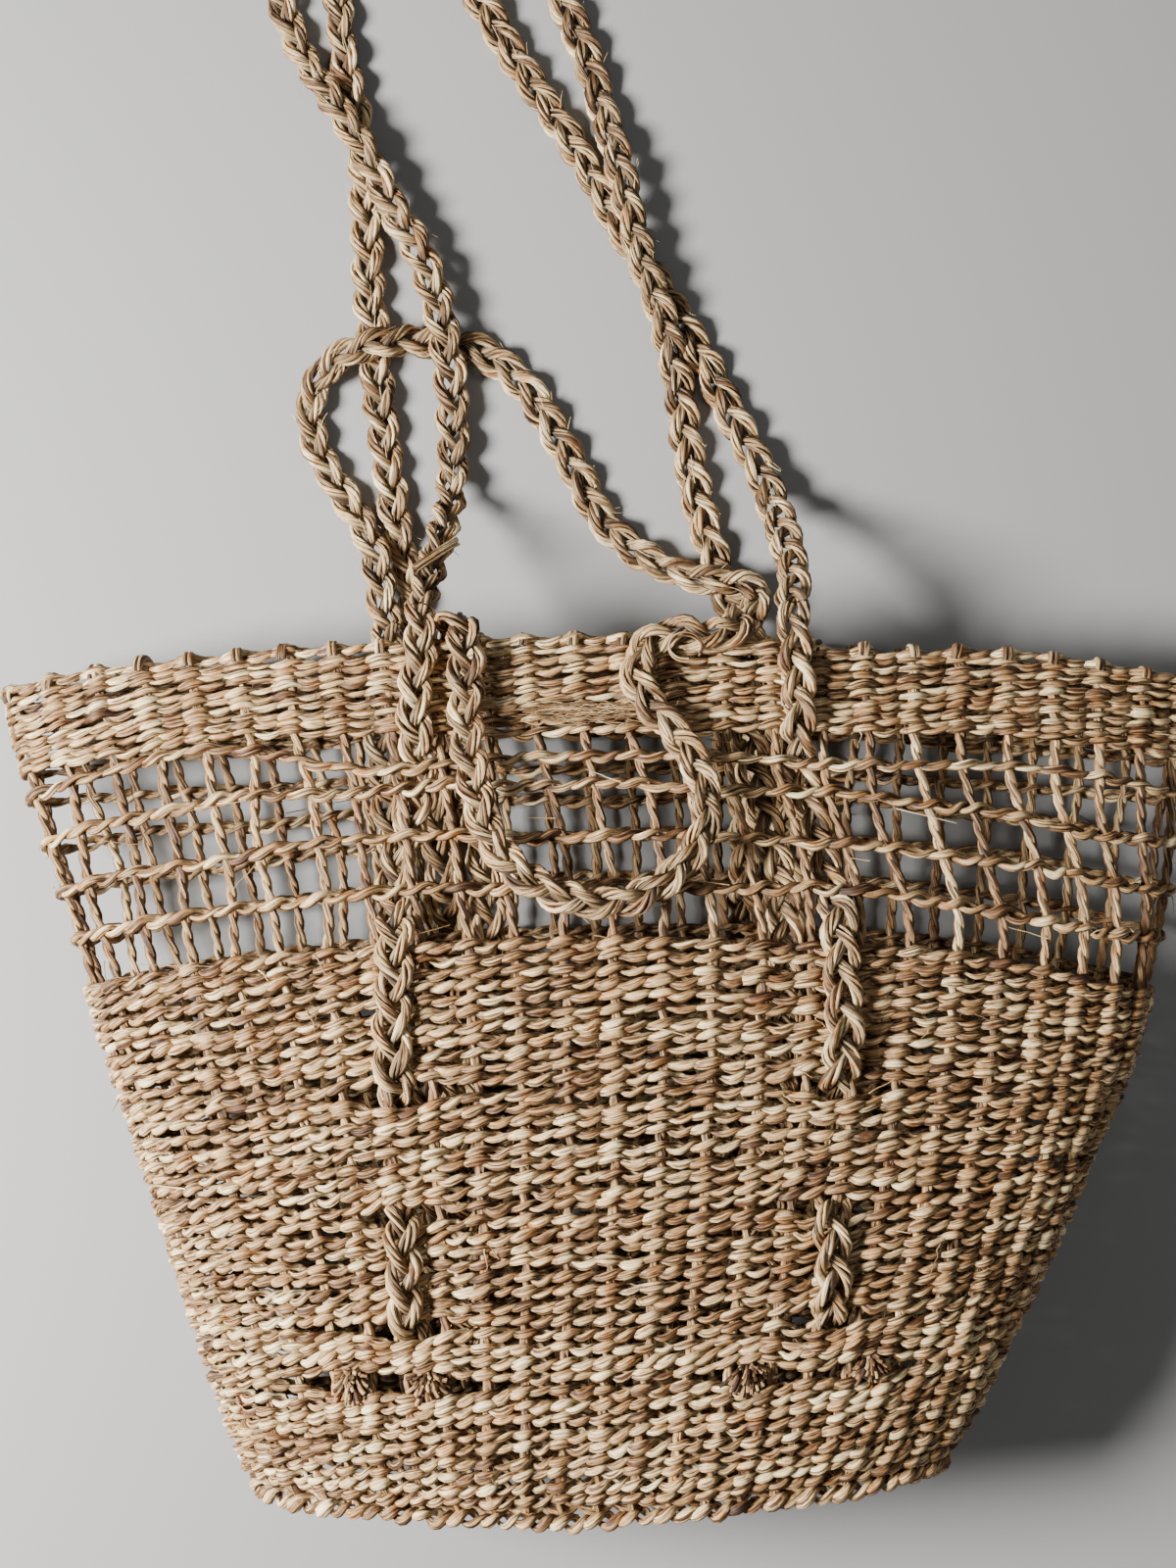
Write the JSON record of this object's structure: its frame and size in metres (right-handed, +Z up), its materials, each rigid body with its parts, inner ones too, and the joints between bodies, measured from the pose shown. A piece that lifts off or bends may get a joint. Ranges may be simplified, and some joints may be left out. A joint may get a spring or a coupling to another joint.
{
  "type": "woven seagrass tote basket",
  "caption": "Hand-woven oval seagrass tote basket with an open net band, a dense rim band and long and short braided handles, lying flat on its back.",
  "frame": {"origin": "middle of the underside of the basket's box without its free ropes, on the surface it lies on", "axes": "+X to the right along the mouth, +Y from the base towards the mouth, +Z up from the surface"},
  "size_m": [0.4898, 0.6936, 0.1068],
  "materials": {
    "weave": "matt dried seagrass, twined",
    "net": "matt dried seagrass, twisted two-ply",
    "braid": "matt dried seagrass, three-strand braid"
  },
  "bodies": {
    "basket": {"base_border": "weave", "base_panel": "weave", "leg_long_back_left": "braid", "leg_long_back_right": "braid", "leg_long_front_left": "braid", "leg_long_front_right": "braid", "leg_short_back_left": "braid", "leg_short_back_right": "braid", "leg_short_front_left": "braid", "leg_short_front_right": "braid", "lower_wall": "weave", "net_cord_1": "net", "net_cord_2": "net", "net_cord_3": "net", "net_cord_4": "net", "rim_band": "weave", "rim_border": "weave", "rope_back_long_left": "braid", "rope_back_long_right": "braid", "rope_back_short_left": "braid", "rope_back_short_right": "braid", "rope_front_long_left": "braid", "rope_front_long_right": "braid", "stakes_back_left": "net", "stakes_back_right": "net", "stakes_front_left": "net", "stakes_front_right": "net", "tuft_back_left_long": "braid", "tuft_back_left_short": "braid", "tuft_back_right_long": "braid", "tuft_back_right_short": "braid", "tuft_front_left_long": "braid", "tuft_front_left_short": "braid", "tuft_front_right_long": "braid", "tuft_front_right_short": "braid"},
    "handle_back_long": {"loop_back_long": "braid"},
    "handle_back_short": {"loop_back_short": "braid"},
    "handle_front_long": {"loop_front_long": "braid"},
    "handle_front_short": {"loop_front_short": "braid"}
  },
  "joints": [
    {"name": "front_long_lift", "type": "hinge", "parent": "basket", "child": "handle_front_long", "pos_m": [-0.0021, 0.2432, 0.0171], "axis": [1, 0, 0], "range_deg": [0, 85]},
    {"name": "back_long_lift", "type": "hinge", "parent": "basket", "child": "handle_back_long", "pos_m": [-0.0021, 0.2432, 0.0171], "axis": [1, 0, 0], "range_deg": [0, 85]},
    {"name": "back_short_lift", "type": "hinge", "parent": "basket", "child": "handle_back_short", "pos_m": [-0.0021, 0.2432, 0.0171], "axis": [1, 0, 0], "range_deg": [0, 85]},
    {"name": "front_short_lift", "type": "hinge", "parent": "basket", "child": "handle_front_short", "pos_m": [-0.0021, 0.1792, 0.0586], "axis": [-1, 0, 0], "range_deg": [0, 80]}
  ],
  "couplings": [
    {"joint": "back_long_lift", "follows": "front_long_lift", "ratio": 1},
    {"joint": "back_short_lift", "follows": "front_long_lift", "ratio": 1}
  ]
}
